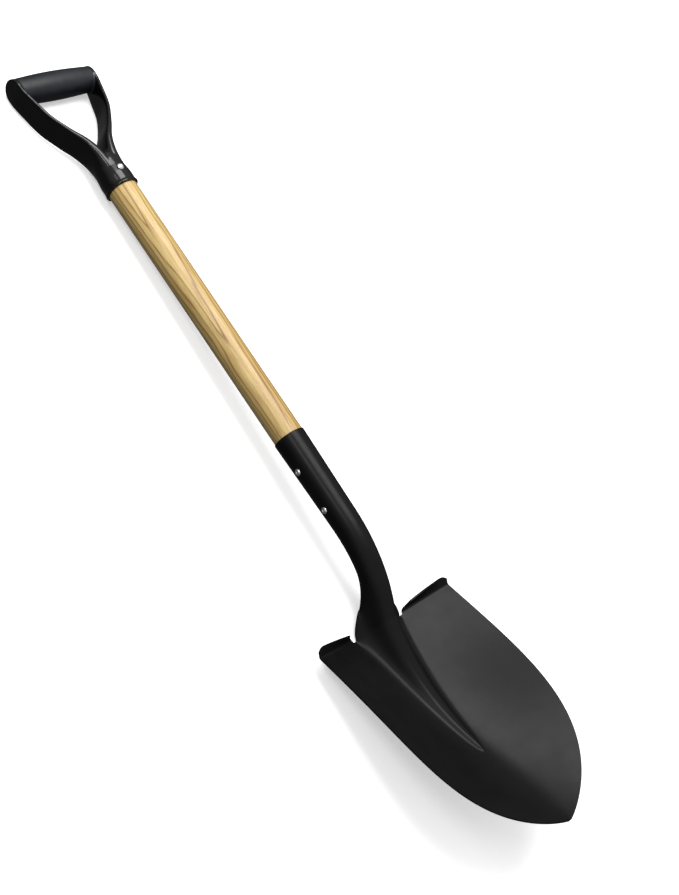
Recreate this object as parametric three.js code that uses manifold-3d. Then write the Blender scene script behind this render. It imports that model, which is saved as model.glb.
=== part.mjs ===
// Round point shovel with a D grip: a one-piece pressed steel blade and rolled socket, a turned
// wooden shaft, a moulded D grip and three through rivets.
//
// Every piece is drawn in the shaft's own frame, in millimetres: z runs along the shaft towards
// the grip, x is the width, and the hollow of the blade faces -y. z = 0 is the middle of the
// crossbar. The whole shovel is then laid on its back, hollow upwards, on the heel of the blade
// and the back of the grip: x stays the width, +Y points from the blade to the grip, +Z is up.

import * as THREE from 'three';
import { mergeVertices } from 'three/addons/utils/BufferGeometryUtils.js';
import Module from 'manifold-3d';

const wasm = await Module();
wasm.setup();
const { Manifold, Mesh: SolidMesh } = wasm;

// ---------------------------------------------------------------- driving dimensions, mm

const CLEARANCE = 0.3;            // left between neighbouring pieces

// blade
const BLADE_WIDTH = 215.8;        // across the steps
const STEP_Z = -743;              // fold line of the two foot steps
const TIP_Z = -1025;
const STEP_Y = 33.6;              // the rim at the steps, behind the shaft's axis
const TIP_Y = -32;                // the tip, in front of the shaft's axis
const RIM_BOW = 11.7;             // how far the rim sags behind the line from step to tip
const FLOOR_TOP_Y = 60.5;         // the bottom of the dish at the steps
const FLOOR_BOW = 20.5;           // how far the bottom of the dish bows back
const SIDE_FLARE = 0.1;           // how much the sides open out towards the point
const OUTLINE_POWER = 4.45;       // how late the sides turn in
const OUTLINE_ROUNDING = 0.82;    // how blunt the point is
const BLADE_END = 0.996;          // share of the length where the flat on the point is
const DISH_ROUNDING = 0.35;       // width of the round bottom between the two flat wings
const SHEET = 1.8;                // thickness of the steel

// frog: the raised rib that runs from the neck down the middle of the blade
const FROG_HEIGHT = 30.5;         // fades out quickly below the steps
const FROG_NOSE_HEIGHT = 4;       // keeps most of its height to the frog's blunt nose
const FROG_HALF_WIDTH = 37;
const FROG_NOSE_HALF_WIDTH = 7;
const FROG_LENGTH = 0.62;         // share of the blade's length
const FROG_FALL = 2.4;            // how early its height fades towards the nose
const FROG_FLANK = 0.5;           // share of the half width where its flank is steepest

// foot steps: the top edges of the blade, turned forwards. Each turns in flatter towards the neck.
const STEP_INNER_X = 42;
const STEP_BEND_RADIUS = 3.5;
const STEP_LIP = 10;              // flat width beyond the bend
const STEP_START_ANGLE = 18;      // degrees, the blade's own backward lean at its top edge
const STEP_INNER_ANGLE = -78;     // degrees, the forward lean of the lip next to the neck
const STEP_OUTER_ANGLE = -36;     // and at the rim
const STEP_INNER_CUT = 9;         // the lip's inner corner is cut back
const STEP_CORNER_START = 0.8;    // share of the step's length where its rounded outer corner begins
const STEP_CORNER_LIP = 0.45;     // share of the lip's width left at the end of that corner

// socket and neck
const SOCKET_TOP_Z = -513;
const SOCKET_TOP_RADIUS = 19.2;
const NECK_RADIUS = 16.2;
const NECK_RADIUS_Z = -670;       // the socket's taper ends here
const NECK_BEND_Z = -620;         // the neck leaves the shaft's axis here
const NECK_BEND_POWER = 2.3;
const CHANNEL_OPEN_Z = -680;      // the rolled seam opens into a channel below this
const SEAM_GAP = 0.6;             // half of the gap along the rolled seam

// shaft
const SHAFT_RADIUS = 18.1;
const TENON_RADIUS = 15;          // in the grip
const TENON_TOP_Z = -112;
const SOCKET_TENON_END_Z = -632;
const SOCKET_TENON_END_RADIUS = 13.6;
const TENON_CHAMFER = 2;

// D grip
const GRIP_WIDTH = 114.3;
const BAR_RADIUS = 15.8;
const BAR_CROWN = 1.6;            // the bar is this much fatter at its middle
const BAR_CHAMFER = 1.5;
const ARM_THICKNESS = 5;          // at the bar
const ARM_SQUARENESS = 0.55;      // 1 is an oval section, 0 a rectangle
const FERRULE_RADIUS = 20.4;
const FERRULE_RIM_RADIUS = 21.4;
const FERRULE_RIM_HEIGHT = 3;
const FERRULE_BOTTOM_Z = -158;
const FERRULE_TAPER_Z = -143;     // plain cylinder below, cone above
const WAIST_RADIUS = 18.2;
const WAIST_Z = -122;

// The middle line of the strap that makes an arm, from the bar down to the waist, with the
// strap's half thickness and half depth: [x, z, half thickness, half depth].
const ARM_STATIONS = [
  [54.65, 4, 2.5, 15.4],
  [54.05, -8, 2.5, 15.8],
  [50.05, -26, 2.5, 16.5],
  [43.15, -50, 2.7, 17.2],
  [30, -73, 3.5, 17.5],
  [17, -91, 5.2, 17.7],
  [10.5, -108, 6.5, 17.4],
  [8, -122, 8, 14.7],
];

// rivets
const RIVET_SHANK_RADIUS = 2.4;
const SOCKET_RIVET_Z = [-554, -606];
const SOCKET_RIVET_HEAD_RADIUS = 4.2;
const GRIP_RIVET_Z = -138.5;
const GRIP_RIVET_HEAD_RADIUS = 4.6;
const RIVET_HEAD_HEIGHT = 2.2;

// mesh fineness
const RIB_COLUMNS = 10;           // columns from the blade's middle to the edge of the neck strip
const WING_COLUMNS = 5;           // columns from there to the rim
const BLADE_ROWS = 20;
const ROW_CROWDING = 1.25;        // rows and columns crowd towards the point and the rim
const COLUMN_CROWDING = 1.6;
const LATHE_SIDES = 32;
const RIVET_SIDES = 20;
const ROD_SIDES = 16;

// ---------------------------------------------------------------- helpers

const { lerp, degToRad, smoothstep } = THREE.MathUtils;
const vec = (x, y, z) => new THREE.Vector3(x, y, z);

// A closed geometry as a manifold-3d solid, and back again.
function solidOf(geometry) {
  const bare = geometry.clone();
  bare.deleteAttribute('normal');
  bare.deleteAttribute('uv');
  const merged = mergeVertices(bare, 1e-4);
  return new Manifold(new SolidMesh({
    numProp: 3,
    vertProperties: new Float32Array(merged.attributes.position.array),
    triVerts: new Uint32Array(merged.index.array),
  }));
}

function geometryOf(solid) {
  const mesh = solid.getMesh();
  const geometry = new THREE.BufferGeometry();
  geometry.setAttribute('position', new THREE.BufferAttribute(new Float32Array(mesh.vertProperties), 3));
  geometry.setIndex(new THREE.BufferAttribute(new Uint32Array(mesh.triVerts), 1));
  return geometry;
}

// A turned body: the profile holds [radius, height] pairs and its ends are on the axis.
function turned(profile, sides = LATHE_SIDES) {
  const points = profile.map(([radius, height]) => new THREE.Vector2(radius, height));
  const geometry = new THREE.LatheGeometry(points, sides);
  geometry.rotateX(Math.PI / 2);   // the lathe's own axis is y, the shaft's is z
  return geometry;
}

// A plain rod through the origin along x or y, moved to height z.
function crossRod(axis, radius, length, z) {
  const geometry = new THREE.CylinderGeometry(radius, radius, length, ROD_SIDES);
  if (axis === 'x') geometry.rotateZ(Math.PI / 2);
  geometry.translate(0, 0, z);
  return geometry;
}

// Steel sheet: each grid is a list of rows of points on the sheet's front. Grids that share points
// are one sheet. The back is set off by the thickness, and free edges get a wall.
function sheet(grids, thickness) {
  const points = [];
  const known = new Map();
  const indexOf = (p) => {
    const key = [p.x, p.y, p.z].map((value) => Math.round(value * 1000)).join();
    if (!known.has(key)) {
      known.set(key, points.length);
      points.push(p);
    }
    return known.get(key);
  };
  const triangles = [];
  const addTriangle = (a, b, c) => {
    if (a !== b && b !== c && c !== a) triangles.push([a, b, c]);
  };
  for (const grid of grids) {
    const rows = grid.map((row) => row.map(indexOf));
    for (let i = 1; i < rows.length; i += 1) {
      for (let j = 1; j < rows[i].length; j += 1) {
        const [a, b, c, d] = [rows[i - 1][j - 1], rows[i][j - 1], rows[i][j], rows[i - 1][j]];
        addTriangle(a, b, c);
        addTriangle(a, c, d);
      }
    }
  }

  const normals = points.map(() => vec(0, 0, 0));
  const edges = new Map();
  for (const [a, b, c] of triangles) {
    const sideOne = points[b].clone().sub(points[a]);
    const sideTwo = points[c].clone().sub(points[a]);
    const normal = sideOne.cross(sideTwo);
    for (const [from, to] of [[a, b], [b, c], [c, a]]) {
      normals[from].add(normal);
      edges.set(`${from},${to}`, [from, to]);
    }
  }
  const count = points.length;
  const back = points.map((p, i) => p.clone().addScaledVector(normals[i].normalize(), -thickness));
  const index = triangles.flat();
  for (const [a, b, c] of triangles) index.push(c + count, b + count, a + count);
  for (const [from, to] of edges.values()) {
    if (edges.has(`${to},${from}`)) continue;
    index.push(to, from, from + count);
    index.push(to, from + count, to + count);
  }

  const geometry = new THREE.BufferGeometry();
  geometry.setFromPoints([...points, ...back]);
  geometry.setIndex(index);
  return geometry;
}

// A closed body through rings with equal numbers of points, first and last ring capped.
function loft(rings) {
  const sides = rings[0].length;
  const points = rings.flat();
  const index = [];
  for (let i = 0; i < rings.length - 1; i += 1) {
    for (let j = 0; j < sides; j += 1) {
      const a = i * sides + j;
      const b = i * sides + (j + 1) % sides;
      index.push(a, b, b + sides);
      index.push(a, b + sides, a + sides);
    }
  }
  const lastRing = (rings.length - 1) * sides;
  for (let j = 1; j < sides - 1; j += 1) {
    index.push(0, j + 1, j);
    index.push(lastRing, lastRing + j, lastRing + j + 1);
  }
  const geometry = new THREE.BufferGeometry();
  geometry.setFromPoints(points);
  geometry.setIndex(index);
  return geometry;
}

// ---------------------------------------------------------------- blade and socket

// t runs from 0 at the steps to 1 at the point.
const bladeZ = (t) => lerp(STEP_Z, TIP_Z, t);
const rimY = (t) => lerp(STEP_Y, TIP_Y, t) - RIM_BOW * Math.sin(Math.PI * t);
const floorY = (t) => lerp(FLOOR_TOP_Y, TIP_Y, t) + FLOOR_BOW * Math.sin(Math.PI * t);
const halfWidth = (t) => (BLADE_WIDTH / 2) * (1 + SIDE_FLARE * t * t)
  * (1 - t ** OUTLINE_POWER) ** OUTLINE_ROUNDING;

// 1 in the middle of the blade and 0 at the rim: flat wings joined by a round bottom.
function dish(u) {
  const top = Math.hypot(1, DISH_ROUNDING);
  return (top - Math.hypot(u, DISH_ROUNDING)) / (top - DISH_ROUNDING);
}

function frogHeight(x, t) {
  const done = t / FROG_LENGTH;
  if (done >= 1) return 0;
  const share = Math.abs(x) / lerp(FROG_HALF_WIDTH, FROG_NOSE_HALF_WIDTH, done);
  if (share >= 1) return 0;
  const crest = FROG_HEIGHT * (1 - done) ** FROG_FALL + FROG_NOSE_HEIGHT * (1 - done ** 4);
  const foot = 1 / (1 + FROG_FLANK ** -4);
  return crest * (1 / (1 + (share / FROG_FLANK) ** 4) - foot) / (1 - foot);
}

function bladePoint(u, t) {
  const x = u * halfWidth(t);
  const y = lerp(rimY(t), floorY(t), dish(u)) - frogHeight(x, t);
  return vec(x, y, bladeZ(t));
}

const socketRadius = (z) => lerp(SOCKET_TOP_RADIUS, NECK_RADIUS,
  THREE.MathUtils.clamp((z - SOCKET_TOP_Z) / (NECK_RADIUS_Z - SOCKET_TOP_Z), 0, 1));

const NECK_END_Y = FLOOR_TOP_Y - FROG_HEIGHT - FROG_NOSE_HEIGHT + NECK_RADIUS;
const neckY = (z) => NECK_END_Y
  * Math.max(0, (z - NECK_BEND_Z) / (STEP_Z - NECK_BEND_Z)) ** NECK_BEND_POWER;

// v runs across the neck strip from its left edge at -1 to its right edge at 1. The strip is rolled
// into a tube with its seam at the back, and it opens out to meet the blade.
function neckPoint(v, z) {
  const radius = socketRadius(z);
  const angle = v * (Math.PI - SEAM_GAP / radius);
  const rolled = vec(radius * Math.sin(angle), neckY(z) - radius * Math.cos(angle), z);
  const open = bladePoint(v * FROG_HALF_WIDTH / (BLADE_WIDTH / 2), 0);
  open.y += neckY(z) - NECK_END_Y;
  open.z = z;
  return rolled.lerp(open, smoothstep(-z, -CHANNEL_OPEN_Z, -STEP_Z));
}

// The forward lip of one step, as rows from its free edge down to the blade's top edge.
function stepRows(columns) {
  const bendRows = 3;
  const start = degToRad(STEP_START_ANGLE);
  const inner = STEP_INNER_X / (BLADE_WIDTH / 2);
  const column = (u) => {
    const outward = (Math.abs(u) - inner) / (1 - inner);
    const end = degToRad(lerp(STEP_INNER_ANGLE, STEP_OUTER_ANGLE, outward));
    const intoCorner = Math.max(0, (outward - STEP_CORNER_START) / (1 - STEP_CORNER_START));
    const lip = STEP_LIP * Math.sqrt(1 - (1 - STEP_CORNER_LIP ** 2) * intoCorner ** 2);
    const bendLength = STEP_BEND_RADIUS * (start - end);
    const path = [vec(0, 0, 0)];
    for (let i = 1; i <= bendRows; i += 1) {
      const angle = lerp(start, end, (i - 0.5) / bendRows);
      const step = vec(0, Math.sin(angle), Math.cos(angle)).multiplyScalar(bendLength / bendRows);
      path.push(path[i - 1].clone().add(step));
    }
    path.push(path[bendRows].clone().add(vec(0, Math.sin(end), Math.cos(end)).multiplyScalar(lip)));
    const cut = Math.sign(u) * STEP_INNER_CUT * (1 - outward);
    path.forEach((point, i) => {
      const along = i > bendRows ? 1 : (i / bendRows) * bendLength / (bendLength + STEP_LIP);
      point.x = cut * along;
      point.add(bladePoint(u, 0));
    });
    return path;
  };
  const paths = columns.map(column);
  const rows = paths[0].map((_, i) => paths.map((path) => path[i]));
  return rows.reverse();
}

function bladeAndSocket() {
  const ribShare = FROG_HALF_WIDTH / (BLADE_WIDTH / 2);
  const stepShare = STEP_INNER_X / (BLADE_WIDTH / 2);
  const half = [];
  for (let i = 0; i <= RIB_COLUMNS; i += 1) half.push(ribShare * i / RIB_COLUMNS);
  for (let i = 0; i <= WING_COLUMNS; i += 1) {
    half.push(lerp(stepShare, 1, 1 - (1 - i / WING_COLUMNS) ** COLUMN_CROWDING));
  }
  const columns = [...half.slice(1).reverse().map((u) => -u), ...half];

  const bladeRows = [];
  for (let i = 0; i <= BLADE_ROWS; i += 1) {
    const t = BLADE_END * (1 - (1 - i / BLADE_ROWS) ** ROW_CROWDING);
    bladeRows.push(columns.map((u) => bladePoint(u, t)));
  }

  const neckHeights = [SOCKET_TOP_Z];
  for (let z = NECK_BEND_Z; z > CHANNEL_OPEN_Z; z -= 15) neckHeights.push(z);
  for (let z = CHANNEL_OPEN_Z; z > STEP_Z; z -= 9) neckHeights.push(z);
  const strip = [];
  for (let i = -RIB_COLUMNS; i <= RIB_COLUMNS; i += 1) strip.push(i / RIB_COLUMNS);
  const neckRows = neckHeights.map((z) => strip.map((v) => neckPoint(v, z)));
  neckRows.push(strip.map((v) => bladePoint(v * ribShare, 0)));

  const stepColumns = columns.filter((u) => u >= stepShare);
  const rightStep = stepRows(stepColumns);
  const leftStep = stepRows(stepColumns.map((u) => -u).reverse());
  const body = solidOf(sheet([neckRows, bladeRows, leftStep, rightStep], SHEET));

  const holes = SOCKET_RIVET_Z.map((z) => solidOf(
    crossRod('x', RIVET_SHANK_RADIUS + CLEARANCE, 4 * SOCKET_TOP_RADIUS, z)));
  return geometryOf(holes.reduce((rest, hole) => rest.subtract(hole), body));
}

// ---------------------------------------------------------------- shaft

function shaft() {
  const socketFlats = Math.cos(Math.PI / (2 * RIB_COLUMNS));   // its tube is faceted
  const mouthRadius = SOCKET_TOP_RADIUS * socketFlats - SHEET - CLEARANCE;
  const body = solidOf(turned([
    [0, SOCKET_TENON_END_Z],
    [SOCKET_TENON_END_RADIUS - TENON_CHAMFER, SOCKET_TENON_END_Z],
    [SOCKET_TENON_END_RADIUS, SOCKET_TENON_END_Z + TENON_CHAMFER],
    [mouthRadius, SOCKET_TOP_Z + CLEARANCE],
    [SHAFT_RADIUS, SOCKET_TOP_Z + CLEARANCE],
    [SHAFT_RADIUS, FERRULE_BOTTOM_Z - CLEARANCE],
    [TENON_RADIUS, FERRULE_BOTTOM_Z - CLEARANCE],
    [TENON_RADIUS, TENON_TOP_Z - TENON_CHAMFER],
    [TENON_RADIUS - TENON_CHAMFER, TENON_TOP_Z],
    [0, TENON_TOP_Z],
  ]));
  const bore = RIVET_SHANK_RADIUS + CLEARANCE;
  const holes = SOCKET_RIVET_Z.map((z) => crossRod('x', bore, 3 * SHAFT_RADIUS, z));
  holes.push(crossRod('y', bore, 3 * SHAFT_RADIUS, GRIP_RIVET_Z));
  return geometryOf(holes.reduce((rest, hole) => rest.subtract(solidOf(hole)), body));
}

// ---------------------------------------------------------------- D grip

// One arm: a flat strap that runs from the end of the bar in an S to the ferrule.
function arm(side) {
  const samples = 14;
  const sides = 16;
  const last = ARM_STATIONS.length - 1;
  const path = new THREE.CatmullRomCurve3(ARM_STATIONS.map(([x, z]) => vec(side * x, 0, z)));
  const squared = (value) => Math.sign(value) * Math.abs(value) ** ARM_SQUARENESS;
  const rings = [];
  for (let i = 0; i <= samples; i += 1) {
    const share = i / samples;
    const low = Math.min(Math.floor(share * last), last - 1);
    const between = share * last - low;
    const [thick, deep] = [2, 3].map((k) => lerp(ARM_STATIONS[low][k], ARM_STATIONS[low + 1][k], between));
    const centre = path.getPoint(share);
    const across = vec(0, 1, 0).cross(path.getTangent(share)).normalize();
    const ring = [];
    for (let j = 0; j < sides; j += 1) {
      const angle = 2 * Math.PI * (j + 0.5) / sides;
      ring.push(centre.clone()
        .addScaledVector(across, thick * squared(Math.cos(angle)))
        .add(vec(0, deep * squared(Math.sin(angle)), 0)));
    }
    rings.push(ring);
  }
  return loft(rings);
}

function crossbar() {
  const end = GRIP_WIDTH / 2;
  const neck = end - ARM_THICKNESS;
  const shoulder = BAR_RADIUS + 0.8 * BAR_CROWN;
  const half = [
    [BAR_RADIUS + BAR_CROWN, 0],
    [shoulder, neck / 2],
    [BAR_RADIUS, neck],
    [BAR_RADIUS, end - BAR_CHAMFER],
    [BAR_RADIUS - BAR_CHAMFER, end],
    [0, end],
  ];
  const mirrored = half.slice(1).reverse().map(([radius, x]) => [radius, -x]);
  const bar = turned([...mirrored, ...half]);
  bar.rotateY(Math.PI / 2);
  return bar;
}

// A cylinder with a rim at its mouth, a cone up to the waist and a rounded top between the arms.
function ferrule() {
  const rimTop = FERRULE_BOTTOM_Z + FERRULE_RIM_HEIGHT;
  return turned([
    [0, FERRULE_BOTTOM_Z],
    [FERRULE_RIM_RADIUS, FERRULE_BOTTOM_Z],
    [FERRULE_RADIUS, rimTop],
    [FERRULE_RADIUS, FERRULE_TAPER_Z],
    [WAIST_RADIUS, WAIST_Z],
    [WAIST_RADIUS - 1.5, WAIST_Z + 9],
    [WAIST_RADIUS - 7, WAIST_Z + 17],
    [0, WAIST_Z + 19],
  ]);
}

function dGrip() {
  const below = FERRULE_BOTTOM_Z - 10;
  const bore = turned([
    [0, below],
    [TENON_RADIUS + CLEARANCE, below],
    [TENON_RADIUS + CLEARANCE, TENON_TOP_Z + CLEARANCE],
    [0, TENON_TOP_Z + CLEARANCE],
  ]);
  const rivetHole = crossRod('y', RIVET_SHANK_RADIUS + CLEARANCE, 4 * FERRULE_RADIUS, GRIP_RIVET_Z);
  const solid = [crossbar(), arm(1), arm(-1), ferrule()]
    .map(solidOf)
    .reduce((whole, part) => whole.add(part));
  return geometryOf(solid.subtract(solidOf(bore)).subtract(solidOf(rivetHole)));
}

// ---------------------------------------------------------------- rivets

// A rivet along z with a low dome at each end; seat is the distance from its middle to each head.
function rivet(seat, headRadius) {
  const dome = [
    [headRadius, seat],
    [headRadius, seat + 0.25 * RIVET_HEAD_HEIGHT],
    [0.86 * headRadius, seat + 0.65 * RIVET_HEAD_HEIGHT],
    [0.5 * headRadius, seat + 0.92 * RIVET_HEAD_HEIGHT],
    [0, seat + RIVET_HEAD_HEIGHT],
  ];
  const mirrored = dome.map(([radius, height]) => [radius, -height]).reverse();
  return turned([...mirrored, [RIVET_SHANK_RADIUS, -seat], [RIVET_SHANK_RADIUS, seat], ...dome],
    RIVET_SIDES);
}

// ---------------------------------------------------------------- assembly

const materials = {
  steel: () => new THREE.MeshStandardMaterial({ color: 0x1b1b1c, roughness: 0.5, metalness: 0.3 }),
  wood: () => new THREE.MeshStandardMaterial({ color: 0xd9b684, roughness: 0.45, metalness: 0 }),
  plastic: () => new THREE.MeshStandardMaterial({ color: 0x0d0d0f, roughness: 0.3, metalness: 0 }),
  rivet: () => new THREE.MeshStandardMaterial({ color: 0xc8c9cb, roughness: 0.3, metalness: 1 }),
};

const shovel = new THREE.Group();

function addPiece(name, geometry, material) {
  const mesh = new THREE.Mesh(geometry, material);
  mesh.name = name;
  shovel.add(mesh);
  return mesh;
}

addPiece('blade_and_socket', bladeAndSocket(), materials.steel());
addPiece('shaft', shaft(), materials.wood());
addPiece('d_grip', dGrip(), materials.plastic());

const rivetNames = ['socket_rivet_upper', 'socket_rivet_lower'];
SOCKET_RIVET_Z.forEach((z, i) => {
  const seat = socketRadius(z) + CLEARANCE;
  const piece = addPiece(rivetNames[i], rivet(seat, SOCKET_RIVET_HEAD_RADIUS), materials.rivet());
  piece.rotation.y = Math.PI / 2;
  piece.position.z = z;
});
const gripRivet = addPiece('grip_rivet', rivet(FERRULE_RADIUS + CLEARANCE, GRIP_RIVET_HEAD_RADIUS),
  materials.rivet());
gripRivet.rotation.x = Math.PI / 2;
gripRivet.position.z = GRIP_RIVET_Z;

// Lays the shovel on its back. The tilt is the one at which the heel of the blade and the back of
// the grip are equally low, found by halving a range that holds it.
const lowest = (piece, tilt) => {
  const positions = piece.geometry.attributes.position;
  let low = Infinity;
  for (let i = 0; i < positions.count; i += 1) {
    const along = positions.getZ(i);
    const up = -positions.getY(i);
    low = Math.min(low, up * Math.cos(tilt) - along * Math.sin(tilt));
  }
  return low;
};
const [blade, , grip] = shovel.children;
let [flat, steep] = [0, degToRad(15)];
for (let i = 0; i < 40; i += 1) {
  const middle = (flat + steep) / 2;
  if (lowest(blade, middle) < lowest(grip, middle)) flat = middle;
  else steep = middle;
}
shovel.rotation.x = -Math.PI / 2 - flat;
shovel.updateMatrixWorld(true);
const box = new THREE.Box3().setFromObject(shovel, true);
shovel.position.set(0, -(box.min.y + box.max.y) / 2, -box.min.z);

export default shovel;
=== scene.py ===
"""Round point shovel with a D grip, lying on its back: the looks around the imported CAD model.

Every piece is drawn in the shaft's own frame, in millimetres: z runs along the shaft towards the
grip, x is the width, the hollow of the blade faces -y, and z = 0 is the middle of the crossbar.
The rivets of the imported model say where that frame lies.
"""

import math

import bmesh
import bpy
import numpy as np
from mathutils import Matrix, Vector


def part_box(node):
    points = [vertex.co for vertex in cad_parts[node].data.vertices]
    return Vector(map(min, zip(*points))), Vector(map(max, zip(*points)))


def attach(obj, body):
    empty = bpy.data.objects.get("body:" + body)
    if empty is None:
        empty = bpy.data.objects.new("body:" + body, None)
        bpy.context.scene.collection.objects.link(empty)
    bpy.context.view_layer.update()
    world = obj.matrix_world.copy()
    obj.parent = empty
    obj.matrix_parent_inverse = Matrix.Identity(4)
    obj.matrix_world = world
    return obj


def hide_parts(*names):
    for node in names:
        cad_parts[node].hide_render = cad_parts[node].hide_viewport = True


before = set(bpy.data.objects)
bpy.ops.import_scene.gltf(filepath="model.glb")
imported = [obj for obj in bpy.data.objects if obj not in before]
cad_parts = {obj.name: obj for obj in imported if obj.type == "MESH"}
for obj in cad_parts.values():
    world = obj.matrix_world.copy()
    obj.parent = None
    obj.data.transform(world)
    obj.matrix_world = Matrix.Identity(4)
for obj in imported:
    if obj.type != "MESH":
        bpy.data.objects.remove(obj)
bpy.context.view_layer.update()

MM = 0.001
SIDES = 96                                # round a turned body

# ---------------------------------------------------------------- driving dimensions, mm

# rivets along the shaft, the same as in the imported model
GRIP_RIVET_Z = -138.5
SOCKET_RIVET_Z = {"socket_rivet_upper": -554.0, "socket_rivet_lower": -606.0}

# blade
BLADE_WIDTH = 215.8
STEP_Z, TIP_Z = -743.0, -1025.0
STEP_Y, TIP_Y = 33.6, -32.0
RIM_BOW = 11.7
FLOOR_TOP_Y = 60.5
FLOOR_BOW = 20.5
SIDE_FLARE = 0.1
OUTLINE_POWER = 4.45
OUTLINE_ROUNDING = 0.82
BLADE_END = 0.9985
DISH_ROUNDING = 0.35
SHEET = 1.8
EDGE_ROUNDING = 0.7

# frog, the raised rib down the middle of the blade
FROG_HEIGHT, FROG_NOSE_HEIGHT = 30.5, 4.0
FROG_HALF_WIDTH, FROG_NOSE_HALF_WIDTH = 37.0, 7.0
FROG_LENGTH = 0.62
FROG_FALL = 2.4
FROG_FLANK = 0.5

# foot steps
STEP_INNER_X = 42.0
STEP_BEND_RADIUS = 3.5
STEP_LIP = 10.0
STEP_START_ANGLE = math.radians(18)
STEP_INNER_ANGLE, STEP_OUTER_ANGLE = math.radians(-78), math.radians(-36)
STEP_INNER_CUT = 9.0
STEP_CORNER_START, STEP_CORNER_LIP = 0.8, 0.45

# socket and neck
SOCKET_TOP_Z, SOCKET_TOP_RADIUS = -513.0, 19.2
NECK_RADIUS, NECK_RADIUS_Z = 16.2, -670.0
NECK_BEND_Z, NECK_BEND_POWER = -620.0, 2.3
CHANNEL_OPEN_Z = -680.0
SEAM_GAP = 0.6
ROOT_REACH, ROOT_SMOOTHING = 26.0, 60     # rounding of the crease where the neck meets the blade

# shaft
CLEARANCE = 0.3
SHAFT_RADIUS, SHAFT_EDGE_ROUNDING = 18.1, 0.9
TENON_RADIUS, TENON_TOP_Z = 15.0, -112.0
SOCKET_TENON_END_Z, SOCKET_TENON_END_RADIUS = -632.0, 14.1

# D grip
GRIP_WIDTH, ARM_THICKNESS = 114.3, 5.0
BAR_RADIUS, BAR_CROWN = 15.8, 1.6
FERRULE_RADIUS, FERRULE_BOTTOM_Z, FERRULE_TAPER_Z = 20.4, -158.0, -143.0
FERRULE_RIM_RADIUS, FERRULE_RIM_HEIGHT, FERRULE_RIM_TAPER = 21.4, 1.0, 3.0
FERRULE_SHOULDER_Z = -132.0
WAIST_RADIUS, WAIST_Z = 18.2, -122.0
GRIP_VOXEL, GRIP_SMOOTHING = 0.9, 5       # the grip's parts are merged on a grid of this size

# rivets
SHANK_RADIUS = 2.4
SOCKET_HEAD_RADIUS, GRIP_HEAD_RADIUS, HEAD_HEIGHT = 4.2, 4.6, 2.2


# ---------------------------------------------------------------- the shaft's frame in the row

def node_middle(node):
    low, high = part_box(node)
    return (low + high) / 2


def shaft_frame():
    """The matrix from the shaft's frame, in metres, to the row's frame."""
    top, bottom = node_middle("grip_rivet"), node_middle("socket_rivet_lower")
    along = (top - bottom).normalized()
    across = Vector((1, 0, 0))
    back = along.cross(across)
    origin = top - along * GRIP_RIVET_Z * MM
    matrix = Matrix((across, back, along)).transposed().to_4x4()
    matrix.translation = origin
    return matrix


TO_ROW = shaft_frame()


# ---------------------------------------------------------------- mesh helpers

def lerp(a, b, share):
    return a + (b - a) * share


def smoothstep(low, high, value):
    s = np.clip((value - low) / (high - low), 0, 1)
    return s * s * (3 - 2 * s)


def grid_faces(rows, columns, start=0, closed=False):
    """Quads of a grid of points kept row by row. A closed grid's last column joins its first."""
    faces = []
    for i in range(rows - 1):
        for j in range(columns if closed else columns - 1):
            k = (j + 1) % columns
            faces.append((start + i * columns + j, start + i * columns + k,
                          start + (i + 1) * columns + k, start + (i + 1) * columns + j))
    return faces


def add_piece(name, vertices, faces, materials, weld=0.0):
    """A smooth-shaded object from vertices in millimetres in the shaft's frame."""
    mesh = bpy.data.meshes.new(name)
    mesh.from_pydata((np.asarray(vertices) * MM).tolist(), [], faces)
    shape = bmesh.new()
    shape.from_mesh(mesh)
    if weld:
        bmesh.ops.remove_doubles(shape, verts=shape.verts, dist=weld * MM)
        bmesh.ops.dissolve_degenerate(shape, edges=shape.edges, dist=weld * MM)
    for face in shape.faces:
        face.smooth = True
    shape.to_mesh(mesh)
    shape.free()
    mesh.transform(TO_ROW)
    for material in materials:
        mesh.materials.append(material)
    piece = bpy.data.objects.new(name, mesh)
    bpy.context.scene.collection.objects.link(piece)
    return piece


def apply_modifiers(piece):
    """Replaces the piece's mesh by what its modifiers make of it."""
    evaluated = piece.evaluated_get(bpy.context.evaluated_depsgraph_get())
    finished = bpy.data.meshes.new_from_object(evaluated)
    piece.modifiers.clear()
    piece.data = finished
    for polygon in finished.polygons:
        polygon.use_smooth = True


def cut_out(piece, tool):
    """Takes the tool's shape out of the piece and deletes the tool."""
    cut = piece.modifiers.new("cut", "BOOLEAN")
    cut.operation, cut.object, cut.solver = "DIFFERENCE", tool, "EXACT"
    apply_modifiers(piece)
    bpy.data.objects.remove(tool)


def turned(profile, sides):
    """A body turned about z: the profile's [radius, height] pairs start and end on the axis."""
    rings = [p for p in profile if p[0] > 0]
    vertices = [(0, 0, profile[0][1])]
    for radius, height in rings:
        for j in range(sides):
            angle = 2 * math.pi * j / sides
            vertices.append((radius * math.cos(angle), radius * math.sin(angle), height))
    vertices.append((0, 0, profile[-1][1]))
    faces = grid_faces(len(rings), sides, 1, closed=True)
    last = len(vertices) - 1
    for j in range(sides):
        k = (j + 1) % sides
        faces.append((0, 1 + k, 1 + j))
        faces.append((last, last - sides + j, last - sides + k))
    return vertices, faces


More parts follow.
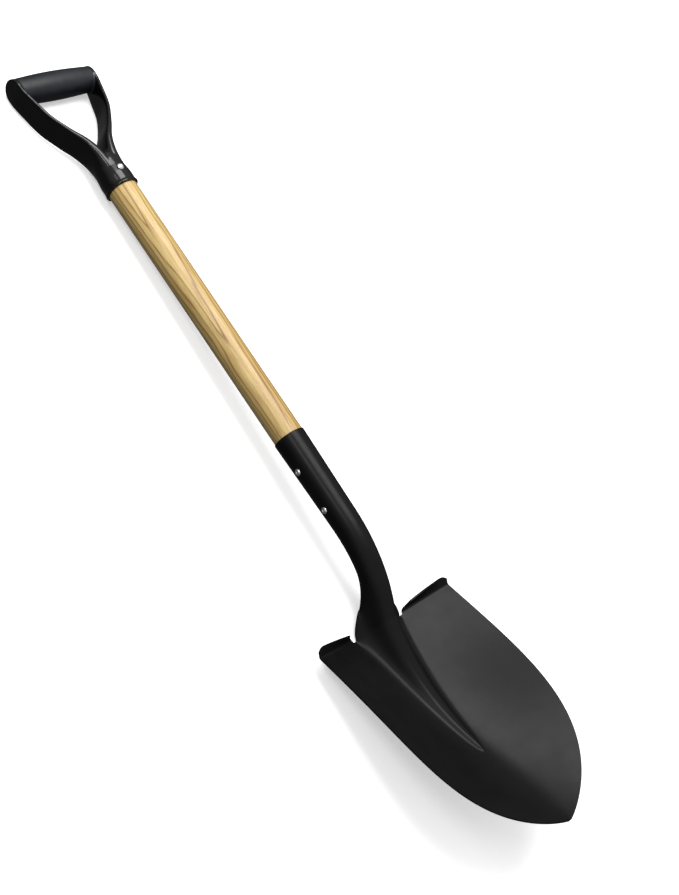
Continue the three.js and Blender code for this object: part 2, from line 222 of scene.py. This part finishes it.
def rounded(profile, radius, steps=5):
    """The profile with each inner corner replaced by an arc-like curve of about that radius."""
    corners = [np.array(p, float) for p in profile]
    path = [corners[0]]
    for before, corner, after in zip(corners, corners[1:], corners[2:]):
        to_before, to_after = before - corner, after - corner
        reach = min(radius, 0.45 * np.linalg.norm(to_before), 0.45 * np.linalg.norm(to_after))
        start = corner + to_before / np.linalg.norm(to_before) * reach
        end = corner + to_after / np.linalg.norm(to_after) * reach
        for i in range(steps + 1):
            s = i / steps
            path.append((1 - s) ** 2 * start + 2 * s * (1 - s) * corner + s * s * end)
    path.append(corners[-1])
    return path


# ---------------------------------------------------------------- blade and socket

def frog_profile(share):
    """The frog's height across its half width: a round crest, a steep flank and a soft foot."""
    foot = 1 / (1 + FROG_FLANK ** -4)
    return (1 / (1 + (share / FROG_FLANK) ** 4) - foot) / (1 - foot)


def blade_point(u, t):
    """Front of the blade: u from -1 to 1 across, t from 0 at the steps to 1 at the point."""
    half = (BLADE_WIDTH / 2) * (1 + SIDE_FLARE * t * t) * (1 - t ** OUTLINE_POWER) ** OUTLINE_ROUNDING
    x = u * half
    bow = np.sin(np.pi * t)
    rim = lerp(STEP_Y, TIP_Y, t) - RIM_BOW * bow
    floor = lerp(FLOOR_TOP_Y, TIP_Y, t) + FLOOR_BOW * bow
    top = math.hypot(1, DISH_ROUNDING)
    dish = (top - np.hypot(u, DISH_ROUNDING)) / (top - DISH_ROUNDING)
    done = np.clip(t / FROG_LENGTH, 0, 1)
    nose = np.sqrt(1 - done ** 12)
    crest = FROG_HEIGHT * (1 - done) ** FROG_FALL + FROG_NOSE_HEIGHT * nose
    width = lerp(FROG_HALF_WIDTH, FROG_NOSE_HALF_WIDTH, done) * nose
    share = np.clip(np.abs(x) / np.maximum(width, 1e-6), 0, 1)
    frog = crest * frog_profile(share)
    return np.stack([x, lerp(rim, floor, dish) - frog, lerp(STEP_Z, TIP_Z, t) + 0 * x], -1)


NECK_END_Y = FLOOR_TOP_Y - FROG_HEIGHT - FROG_NOSE_HEIGHT + NECK_RADIUS
RIB_SHARE = FROG_HALF_WIDTH / (BLADE_WIDTH / 2)
STEP_SHARE = STEP_INNER_X / (BLADE_WIDTH / 2)


def socket_radius(z):
    return lerp(SOCKET_TOP_RADIUS, NECK_RADIUS,
                np.clip((z - SOCKET_TOP_Z) / (NECK_RADIUS_Z - SOCKET_TOP_Z), 0, 1))


def neck_y(z):
    return NECK_END_Y * np.maximum(0, (z - NECK_BEND_Z) / (STEP_Z - NECK_BEND_Z)) ** NECK_BEND_POWER


def neck_point(v, z):
    """The neck strip, v from -1 to 1: a tube with its seam at the back that opens out below."""
    radius = socket_radius(z)
    angle = v * (math.pi - SEAM_GAP / radius)
    tube = np.stack([radius * np.sin(angle), neck_y(z) - radius * np.cos(angle), z + 0 * v], -1)
    flat = blade_point(v * RIB_SHARE, 0 * v)
    flat[..., 1] += neck_y(z) - NECK_END_Y
    flat[..., 2] = z
    share = smoothstep(-CHANNEL_OPEN_Z, -STEP_Z, -z)[..., None]
    return tube + (flat - tube) * share


def step_lip(shares):
    """One foot step, from the blade's top edge over the bend to the lip's free edge."""
    bend_steps, flat_steps = 8, 6
    outward = (np.abs(shares) - STEP_SHARE) / (1 - STEP_SHARE)
    end = lerp(STEP_INNER_ANGLE, STEP_OUTER_ANGLE, outward)
    bend_length = STEP_BEND_RADIUS * (STEP_START_ANGLE - end)
    into_corner = np.clip((outward - STEP_CORNER_START) / (1 - STEP_CORNER_START), 0, 1)
    lip = STEP_LIP * np.sqrt(1 - (1 - STEP_CORNER_LIP ** 2) * into_corner ** 2)
    edge = blade_point(shares, 0 * shares)
    rows = []
    for i in range(bend_steps + flat_steps + 1):
        bent, flat = min(i / bend_steps, 1), max(i - bend_steps, 0) / flat_steps
        angle = lerp(STEP_START_ANGLE, end, bent)
        y = STEP_BEND_RADIUS * (np.cos(angle) - math.cos(STEP_START_ANGLE))
        z = STEP_BEND_RADIUS * (math.sin(STEP_START_ANGLE) - np.sin(angle))
        y, z = y + np.sin(end) * lip * flat, z + np.cos(end) * lip * flat
        along = (bent * bend_length + flat * STEP_LIP) / (bend_length + STEP_LIP)
        shift = np.sign(shares) * STEP_INNER_CUT * smoothstep(0, 1, along) * (1 - outward)
        rows.append(edge + np.stack([shift, y, z], -1))
    return np.array(rows)


def spread(count, low, high, power):
    """Numbers from low to high that crowd towards high as power grows."""
    return lerp(low, high, 1 - (1 - np.arange(count + 1) / count) ** power)


def smooth_root(neck, blade, first):
    """Rounds the crease where the neck strip runs into the blade. Both grids share a row there."""
    count = neck.shape[1]
    rows = np.concatenate([neck[:-1], blade[:, first:first + count]])
    v = np.linspace(-1, 1, count)
    weight = np.exp(-((rows[..., 2] - STEP_Z) / ROOT_REACH) ** 2) * (1 - v ** 4)
    for _ in range(ROOT_SMOOTHING):
        mean = (rows[:-2, :, 1] + 2 * rows[1:-1, :, 1] + rows[2:, :, 1]) / 4
        rows[1:-1, :, 1] = lerp(rows[1:-1, :, 1], mean, weight[1:-1])
    neck[:] = rows[:len(neck)]
    blade[:, first:first + count] = rows[len(neck) - 1:]


def build_blade(material):
    rib_columns, notch_columns, wing_columns, blade_rows, neck_rows = 26, 3, 40, 130, 90
    rib = np.arange(rib_columns + 1) / rib_columns * RIB_SHARE
    notch = lerp(RIB_SHARE, STEP_SHARE, np.arange(1, notch_columns) / notch_columns)
    wing = spread(wing_columns, STEP_SHARE, 1, 1.6)
    half = np.concatenate([rib, notch, wing])
    across = np.concatenate([-half[:0:-1], half])
    t = BLADE_END * spread(blade_rows, 0, 1, 1.35)

    blade = blade_point(*np.meshgrid(across, t))
    strip = np.arange(-rib_columns, rib_columns + 1) / rib_columns
    heights = np.concatenate([
        np.linspace(SOCKET_TOP_Z, NECK_BEND_Z, 20, endpoint=False),
        np.linspace(NECK_BEND_Z, STEP_Z, neck_rows - 20)])
    neck = neck_point(*np.meshgrid(strip, heights))
    neck[-1] = blade[0, len(half) - 1 - rib_columns:len(half) + rib_columns]
    smooth_root(neck, blade, len(half) - 1 - rib_columns)
    grids = [blade, neck, step_lip(wing)[::-1], step_lip(-wing[::-1])[::-1]]

    vertices, faces = [], []
    for points in grids:
        faces += grid_faces(points.shape[0], points.shape[1], len(vertices))
        vertices += points.reshape(-1, 3).tolist()
    piece = add_piece("blade_and_socket_shell", vertices, faces, [material], weld=0.02)
    # the grids are the hollow side, and the sheet's thickness goes to the back
    thick = piece.modifiers.new("thickness", "SOLIDIFY")
    thick.thickness, thick.offset, thick.use_even_offset = SHEET * MM, 1, False
    soft = piece.modifiers.new("edges", "BEVEL")
    soft.width, soft.segments, soft.limit_method = EDGE_ROUNDING * MM, 3, "ANGLE"
    soft.angle_limit = math.radians(50)
    apply_modifiers(piece)
    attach(piece, "root")
    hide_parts("blade_and_socket")


# ---------------------------------------------------------------- shaft

def build_shaft(material):
    mouth = SOCKET_TOP_RADIUS - SHEET - CLEARANCE - 0.3
    profile = [
        (0, SOCKET_TENON_END_Z),
        (SOCKET_TENON_END_RADIUS - CLEARANCE, SOCKET_TENON_END_Z),
        (mouth, SOCKET_TOP_Z + CLEARANCE),
        (SHAFT_RADIUS, SOCKET_TOP_Z + CLEARANCE),
        (SHAFT_RADIUS, FERRULE_BOTTOM_Z - CLEARANCE),
        (TENON_RADIUS, FERRULE_BOTTOM_Z - CLEARANCE),
        (TENON_RADIUS, TENON_TOP_Z),
        (0, TENON_TOP_Z),
    ]
    piece = add_piece("shaft_wood", *turned(rounded(profile, SHAFT_EDGE_ROUNDING), SIDES), [material])
    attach(piece, "root")
    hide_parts("shaft")


# ---------------------------------------------------------------- D grip

def arm_rings(side, sections=80, sides=48):
    """One arm: a strap with a round upper end, flat outside and rounded inside, that runs down
    into the ferrule and turns into part of its cone."""
    half = ARM_THICKNESS / 2
    top = GRIP_WIDTH / 2 - half
    # x and z of the strap's middle, half thickness, half depth, squareness outside and inside
    stations = np.array([
        [top, 0, half, 15.8, 0.3, 0.5], [top - 0.6, -9, half, 15.8, 0.3, 0.5],
        [top - 4.6, -26, half, 16.5, 0.3, 0.5], [top - 11.5, -50, 2.7, 17.2, 0.35, 0.55],
        [30, -73, 3.5, 17.5, 0.4, 0.6], [17.3, -91, 5.2, 17.7, 0.5, 0.7],
        [10.4, -107, 7.6, 17.6, 0.75, 0.85], [7.5, -121, 10.4, 17.4, 1.0, 1.0],
        [5, -134, 13.4, 17.6, 1.0, 1.0]])
    round_end = [[top, BAR_RADIUS * math.sin(a), half, BAR_RADIUS * math.cos(a), 0.3, 0.6]
                 for a in np.radians([84, 78, 70, 60, 50, 40, 30, 20, 10])]
    place = np.linspace(0, len(stations) - 1, sections)
    smooth = np.stack([catmull_rom(stations[:, k], place) for k in range(6)], -1)
    smooth = np.concatenate([round_end, smooth])
    along = np.gradient(smooth[:, :2], axis=0)
    along /= np.linalg.norm(along, axis=1)[:, None]
    angle = 2 * np.pi * (np.arange(sides) + 0.5) / sides
    squareness = np.where(np.cos(angle) > 0, smooth[:, 4:5], smooth[:, 5:6])
    out = smooth[:, 2:3] * np.sign(np.cos(angle)) * np.abs(np.cos(angle)) ** squareness
    deep = smooth[:, 3:4] * np.sign(np.sin(angle)) * np.abs(np.sin(angle)) ** squareness
    points = np.zeros((len(smooth), sides, 3))
    points[..., 0] = side * (smooth[:, :1] - along[:, 1:] * out)
    points[..., 1] = deep
    points[..., 2] = smooth[:, 1:2] + along[:, :1] * out
    return points


def catmull_rom(values, place):
    padded = np.concatenate([[2 * values[0] - values[1]], values, [2 * values[-1] - values[-2]]])
    low = np.minimum(place.astype(int), len(values) - 2)
    s = place - low
    a, b, c, d = (padded[low + k] for k in range(4))
    return b + 0.5 * s * (c - a + s * (2 * a - 5 * b + 4 * c - d + s * (3 * (b - c) + d - a)))


def capped(rings):
    count, sides = rings.shape[:2]
    faces = grid_faces(count, sides, closed=True)
    faces.append(tuple(range(sides))[::-1])
    faces.append(tuple(range((count - 1) * sides, count * sides)))
    return rings.reshape(-1, 3), faces


def build_grip(gloss, matt):
    inner = GRIP_WIDTH / 2 - ARM_THICKNESS / 2
    bar = [(0, -inner)]
    for share in np.linspace(-1, 1, 25):
        bar.append((BAR_RADIUS - 0.4 + (BAR_CROWN + 0.4) * math.cos(share * math.pi / 2), share * inner))
    bar.append((0, inner))
    ferrule = [
        (0, FERRULE_BOTTOM_Z), (FERRULE_RIM_RADIUS, FERRULE_BOTTOM_Z),
        (FERRULE_RIM_RADIUS, FERRULE_BOTTOM_Z + FERRULE_RIM_HEIGHT),
        (FERRULE_RADIUS, FERRULE_BOTTOM_Z + FERRULE_RIM_HEIGHT + FERRULE_RIM_TAPER),
        (FERRULE_RADIUS, FERRULE_TAPER_Z),
        (lerp(FERRULE_RADIUS, WAIST_RADIUS, 0.6), FERRULE_SHOULDER_Z),
        (WAIST_RADIUS, WAIST_Z), (WAIST_RADIUS - 1, WAIST_Z + 7), (WAIST_RADIUS - 5, WAIST_Z + 14),
        (0, WAIST_Z + 17)]
    vertices, faces = [], []
    parts = [turned(ferrule, SIDES), capped(arm_rings(1)), capped(arm_rings(-1))]
    bar_vertices, bar_faces = turned(bar, SIDES)
    parts.append(([(z, y, -x) for x, y, z in bar_vertices], bar_faces))
    for part_vertices, part_faces in parts:
        start = len(vertices)
        faces += [tuple(start + i for i in face) for face in part_faces]
        vertices += [tuple(v) for v in part_vertices]
    piece = add_piece("d_grip_moulding", vertices, faces, [gloss, matt])
    merge = piece.modifiers.new("merge", "REMESH")
    merge.mode, merge.voxel_size = "VOXEL", GRIP_VOXEL * MM
    soft = piece.modifiers.new("soften", "SMOOTH")
    soft.factor, soft.iterations = 0.5, GRIP_SMOOTHING
    apply_modifiers(piece)
    low, high, radius = FERRULE_BOTTOM_Z - 5, TENON_TOP_Z + CLEARANCE, TENON_RADIUS + CLEARANCE
    bore = [(0, low), (radius, low), (radius, high), (0, high)]
    cut_out(piece, add_piece("bore", *turned(bore, SIDES), [gloss]))
    to_shaft = TO_ROW.inverted()
    for face in piece.data.polygons:
        place = to_shaft @ face.center / MM
        on_bar = math.hypot(place.y, place.z) < BAR_RADIUS + BAR_CROWN + 0.5
        face.material_index = int(on_bar and abs(place.x) < inner - ARM_THICKNESS / 2 - 0.5)
    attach(piece, "root")
    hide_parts("d_grip")


# ---------------------------------------------------------------- rivets

def build_rivet(name, node, seat, head, z, turn, material):
    """A shank with a dimpled dome at each end, seat millimetres from the shaft's axis."""
    dome = [(head * s, seat + HEAD_HEIGHT * (1 - s ** 2.6)) for s in np.linspace(1, 0.3, 12)]
    dome += [(head * 0.3, seat + HEAD_HEIGHT * 0.85), (head * 0.28, seat + HEAD_HEIGHT * 0.25),
             (0, seat + HEAD_HEIGHT * 0.2)]
    profile = [(r, -h) for r, h in dome[::-1]] + [(SHANK_RADIUS, -seat), (SHANK_RADIUS, seat)] + dome
    vertices, faces = turned(profile, 48)
    rotation = np.array(Matrix.Rotation(math.pi / 2, 3, turn))
    vertices = np.array(vertices) @ rotation.T + np.array([0, 0, z])
    piece = add_piece(name, vertices, faces, [material])
    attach(piece, "root")
    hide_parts(node)


# ---------------------------------------------------------------- materials

class Nodes:
    """A short way to write a material's node tree, in the shaft's frame and in metres."""

    def __init__(self, name):
        self.material = bpy.data.materials.new(name)
        self.material.use_nodes = True
        self.tree = self.material.node_tree
        self.shader = self.tree.nodes["Principled BSDF"]
        to_shaft = self.add("ShaderNodeMapping")
        to_shaft.inputs["Location"].default_value = TO_ROW.inverted().translation
        to_shaft.inputs["Rotation"].default_value = TO_ROW.inverted().to_euler()
        self.link(self.add("ShaderNodeTexCoord").outputs["Object"], to_shaft, "Vector")
        self.place = to_shaft.outputs["Vector"]

    def add(self, kind, **settings):
        node = self.tree.nodes.new(kind)
        for key, value in settings.items():
            setattr(node, key, value)
        return node

    def link(self, output, node, socket):
        self.tree.links.new(output, node.inputs[socket])

    def set(self, **values):
        """Uniform values, on the shader's own sockets."""
        for key, value in values.items():
            self.shader.inputs[key.replace("_", " ")].default_value = value

    def stretched(self, scale):
        """The place with each axis scaled: below 1 draws a pattern out along that axis."""
        node = self.add("ShaderNodeMapping")
        node.inputs["Scale"].default_value = scale
        self.link(self.place, node, "Vector")
        return node.outputs["Vector"]

    def noise(self, size, detail=2.0, roughness=0.5, vector=None):
        """Noise with features of that size."""
        node = self.add("ShaderNodeTexNoise")
        node.inputs["Scale"].default_value = 1 / size
        node.inputs["Detail"].default_value = detail
        node.inputs["Roughness"].default_value = roughness
        self.link(vector or self.place, node, "Vector")
        return node.outputs["Fac"]

    def ramp(self, value, stops):
        """A colour or grey for each level of value: stops are (position, colour) pairs."""
        node = self.add("ShaderNodeValToRGB")
        elements = node.color_ramp.elements
        while len(elements) < len(stops):
            elements.new(0.5)
        for element, (position, colour) in zip(elements, stops):
            element.position = position
            element.color = (*colour, 1) if isinstance(colour, tuple) else (colour,) * 3 + (1,)
        self.link(value, node, "Fac")
        return node.outputs["Color"]

    def mix(self, factor, first, second, blend="MIX"):
        """Two colours blended. Each argument is a value, a colour or another node's output."""
        node = self.add("ShaderNodeMix", data_type="RGBA", blend_type=blend)
        for value, socket in ((factor, 0), (first, 6), (second, 7)):
            if isinstance(value, (int, float)):
                node.inputs[socket].default_value = value
            elif isinstance(value, tuple):
                node.inputs[socket].default_value = (*value, 1)
            else:
                self.tree.links.new(value, node.inputs[socket])
        return node.outputs[2]

    def between(self, value, low, high):
        """Noise, which mostly lies between 0.3 and 0.7, stretched to run from low to high."""
        node = self.add("ShaderNodeMapRange")
        node.inputs["From Min"].default_value = 0.3
        node.inputs["From Max"].default_value = 0.7
        node.inputs["To Min"].default_value = low
        node.inputs["To Max"].default_value = high
        self.link(value, node, "Value")
        return node.outputs["Result"]

    def bump(self, height, depth, under=None):
        """Relief of that depth, on top of another relief."""
        node = self.add("ShaderNodeBump")
        node.inputs["Distance"].default_value = depth
        self.link(height, node, "Height")
        if under is not None:
            self.link(under, node, "Normal")
        return node.outputs["Normal"]


def steel_material():
    """Satin black powder coat: fine orange peel over slight waves left by the press."""
    n = Nodes("powder_coat")
    n.set(Specular_IOR_Level=0.12)
    n.link(n.ramp(n.noise(0.03, 3), [(0.3, 0.003), (0.7, 0.0045)]), n.shader, "Base Color")
    n.link(n.between(n.noise(0.018, 4, 0.6), 0.29, 0.35), n.shader, "Roughness")
    waves = n.bump(n.noise(0.05, 1), 0.00012)
    peel = n.bump(n.noise(0.0012, 2), 0.00003, waves)
    n.link(peel, n.shader, "Normal")
    return n.material


RING_WIDTH = 0.0042                       # metres between two growth rings
RING_WANDER = 3.0                         # how many rings' widths they stray
RING_NORMAL = (-0.55, -0.83, 0.022)       # the rings lean a little, so they end in long points


def wood_material():
    """Straight-grained pale ash, turned and lacquered. The grain runs along z."""
    n = Nodes("lacquered_ash")
    drift = n.noise(0.016, 2, 0.5, n.stretched((1, 1, 0.1)))
    depth = n.add("ShaderNodeVectorMath", operation="DOT_PRODUCT")
    depth.inputs[1].default_value = RING_NORMAL
    n.link(n.place, depth, 0)
    rings = n.add("ShaderNodeMath", operation="MULTIPLY_ADD")
    n.link(depth.outputs["Value"], rings, 0)
    rings.inputs[1].default_value = 1 / RING_WIDTH
    wander = n.add("ShaderNodeMath", operation="MULTIPLY")
    n.link(drift, wander, 0)
    wander.inputs[1].default_value = RING_WANDER
    n.link(wander.outputs[0], rings, 2)
    year = n.add("ShaderNodeMath", operation="FRACT")
    n.link(rings.outputs[0], year, 0)
    white = (1, 1, 1)
    early, middle, late = (0.61, 0.465, 0.20), (0.54, 0.39, 0.155), (0.29, 0.165, 0.045)
    growth = n.ramp(year.outputs[0], [
        (0.0, late), (0.1, middle), (0.3, early), (0.8, middle), (0.97, late)])
    streaks = n.noise(0.03, 3, 0.55, n.stretched((1, 1, 0.06)))
    broad = n.ramp(streaks, [(0.3, (0.74, 0.66, 0.56)), (0.65, white)])
    toned = n.mix(1.0, growth, broad, "MULTIPLY")
    fibres = n.noise(0.0006, 3, 0.6, n.stretched((1, 1, 0.02)))
    fibre_tone = n.ramp(fibres, [(0.32, (0.62, 0.54, 0.44)), (0.55, white)])
    fibred = n.mix(1.0, toned, fibre_tone, "MULTIPLY")
    pores = n.noise(0.00045, 1, 0.5, n.stretched((1, 1, 0.07)))
    pore_mask = n.ramp(pores, [(0.68, 0.0), (0.76, 1.0)])
    dark_pores = n.mix(0.55, fibred, (0.25, 0.12, 0.04))
    n.link(n.mix(pore_mask, fibred, dark_pores), n.shader, "Base Color")
    n.link(n.between(n.noise(0.02, 3), 0.32, 0.42), n.shader, "Roughness")
    n.set(Specular_IOR_Level=0.35, Coat_Weight=0.12, Coat_Roughness=0.22)
    grain = n.bump(fibres, 0.00003)
    n.link(n.bump(pore_mask, -0.00004, grain), n.shader, "Normal")
    return n.material


def plastic_material(name, tone, roughness, texture_size, texture_depth):
    """Moulded black plastic: a fine surface texture over the slight sink and flow of moulding."""
    n = Nodes(name)
    n.set(Specular_IOR_Level=0.4)
    dark, light = tuple(0.85 * c for c in tone), tuple(1.15 * c for c in tone)
    n.link(n.ramp(n.noise(0.025, 2), [(0.3, dark), (0.7, light)]), n.shader, "Base Color")
    n.link(n.between(n.noise(0.012, 3), 0.85 * roughness, 1.15 * roughness), n.shader, "Roughness")
    sink = n.bump(n.noise(0.02, 1), 0.0002)
    n.link(n.bump(n.noise(texture_size, 2), texture_depth, sink), n.shader, "Normal")
    return n.material


def zinc_material():
    """Bright zinc plating with a fine grain and a faint cloudiness."""
    n = Nodes("zinc")
    n.set(Metallic=1.0)
    cloud = n.ramp(n.noise(0.002, 3), [(0.3, (0.66, 0.67, 0.69)), (0.7, (0.82, 0.83, 0.85))])
    n.link(cloud, n.shader, "Base Color")
    n.link(n.between(n.noise(0.001, 3), 0.2, 0.34), n.shader, "Roughness")
    n.link(n.bump(n.noise(0.0004, 2), 0.00001), n.shader, "Normal")
    return n.material


# ---------------------------------------------------------------- pieces

steel, wood, zinc = steel_material(), wood_material(), zinc_material()
build_blade(steel)
build_shaft(wood)
gloss = plastic_material("gloss_plastic", (0.0022, 0.0022, 0.003), 0.15, 0.0008, 0.000002)
matt = plastic_material("matt_plastic", (0.0055, 0.0062, 0.0095), 0.45, 0.0007, 0.00004)
build_grip(gloss, matt)
for node, z in SOCKET_RIVET_Z.items():
    build_rivet(node + "_head", node, float(socket_radius(z)) + 0.1, SOCKET_HEAD_RADIUS, z, "Y", zinc)
build_rivet("grip_rivet_head", "grip_rivet", FERRULE_RADIUS + 0.1, GRIP_HEAD_RADIUS, GRIP_RIVET_Z,
            "X", zinc)

# ---------------------------------------------------------------- studio

FLOOR_HALF = 6
FLOOR_GLOW = 0.44
DOME_LOW, DOME_HIGH = 0.1, 0.75


def add_area(name, place, aim, size, radiance):
    """A rectangular softbox of that size in metres, as bright as radiance says at any size."""
    light = bpy.data.lights.new(name, "AREA")
    light.shape, light.size, light.size_y = "RECTANGLE", size[0], size[1]
    light.energy = radiance * math.pi * size[0] * size[1]
    lamp = bpy.data.objects.new(name, light)
    bpy.context.scene.collection.objects.link(lamp)
    lamp.location = place
    lamp.rotation_euler = (Vector(aim) - Vector(place)).to_track_quat("-Z", "Y").to_euler()


def build_floor():
    """White paper, lit a little from behind like a light table. Only the camera sees it."""
    mesh = bpy.data.meshes.new("floor")
    corners = [(-1, -1), (1, -1), (1, 1), (-1, 1)]
    mesh.from_pydata([(x * FLOOR_HALF, y * FLOOR_HALF, 0) for x, y in corners], [], [(0, 1, 2, 3)])
    floor = bpy.data.objects.new("floor", mesh)
    paper = Nodes("paper")
    paper.set(Base_Color=(0.8, 0.8, 0.8, 1), Roughness=0.9, Specular_IOR_Level=0.1)
    paper.set(Emission_Color=(1, 1, 1, 1), Emission_Strength=FLOOR_GLOW)
    mesh.materials.append(paper.material)
    bpy.context.scene.collection.objects.link(floor)
    floor.visible_glossy = floor.visible_diffuse = False


def build_world():
    """A pale dome, white where it is seen, that lights from above and leaves the horizon dim."""
    world = bpy.data.worlds.new("studio")
    bpy.context.scene.world = world
    world.use_nodes = True
    tree = world.node_tree
    background = tree.nodes["Background"]
    direction = tree.nodes.new("ShaderNodeTexCoord")
    split = tree.nodes.new("ShaderNodeSeparateXYZ")
    rise = tree.nodes.new("ShaderNodeMapRange")
    rise.inputs["From Min"].default_value, rise.inputs["From Max"].default_value = 0.0, 0.7
    rise.inputs["To Min"].default_value, rise.inputs["To Max"].default_value = DOME_LOW, DOME_HIGH
    seen = tree.nodes.new("ShaderNodeLightPath")
    mix = tree.nodes.new("ShaderNodeMix")
    camera_sees = 1.0
    mix.inputs[3].default_value = camera_sees
    tree.links.new(direction.outputs["Generated"], split.inputs[0])
    tree.links.new(split.outputs["Z"], rise.inputs["Value"])
    tree.links.new(seen.outputs["Is Camera Ray"], mix.inputs[0])
    tree.links.new(rise.outputs["Result"], mix.inputs[2])
    tree.links.new(mix.outputs[0], background.inputs["Strength"])
    background.inputs["Color"].default_value = (1, 1, 1, 1)


def build_camera():
    """The photo's view: the shaft leans to the left in it, by the camera's roll."""
    place = TO_ROW @ (Vector((-1104.1, -1241.4, -862.4)) * MM)
    aim = TO_ROW @ (Vector((55.3, 0, -547.9)) * MM)
    lean = math.radians(34.2)
    forward = (aim - place).normalized()
    shaft_side = forward.cross(TO_ROW.to_3x3() @ Vector((0, 0, 1))).normalized()
    shaft_up = shaft_side.cross(forward)
    right = shaft_side * math.cos(lean) - shaft_up * math.sin(lean)
    up = right.cross(forward)
    data = bpy.data.cameras.new("camera")
    data.lens, data.sensor_width = 60.77, 36.0
    camera = bpy.data.objects.new("camera", data)
    matrix = Matrix((right, up, -forward)).transposed().to_4x4()
    matrix.translation = place
    camera.matrix_world = matrix
    bpy.context.scene.collection.objects.link(camera)
    bpy.context.scene.camera = camera


build_floor()
build_world()
add_area("key", (0.4, 1.1, 2.4), (0.4, 0.85, 0), (1.6, 2.2), 7.5)
add_area("strip", (-1.6, 0.9, 2.4), (0, 0.4, 0), (1.4, 0.2), 22)
build_camera()
bpy.context.scene.view_settings.view_transform = "Standard"

bpy.context.view_layer.update()
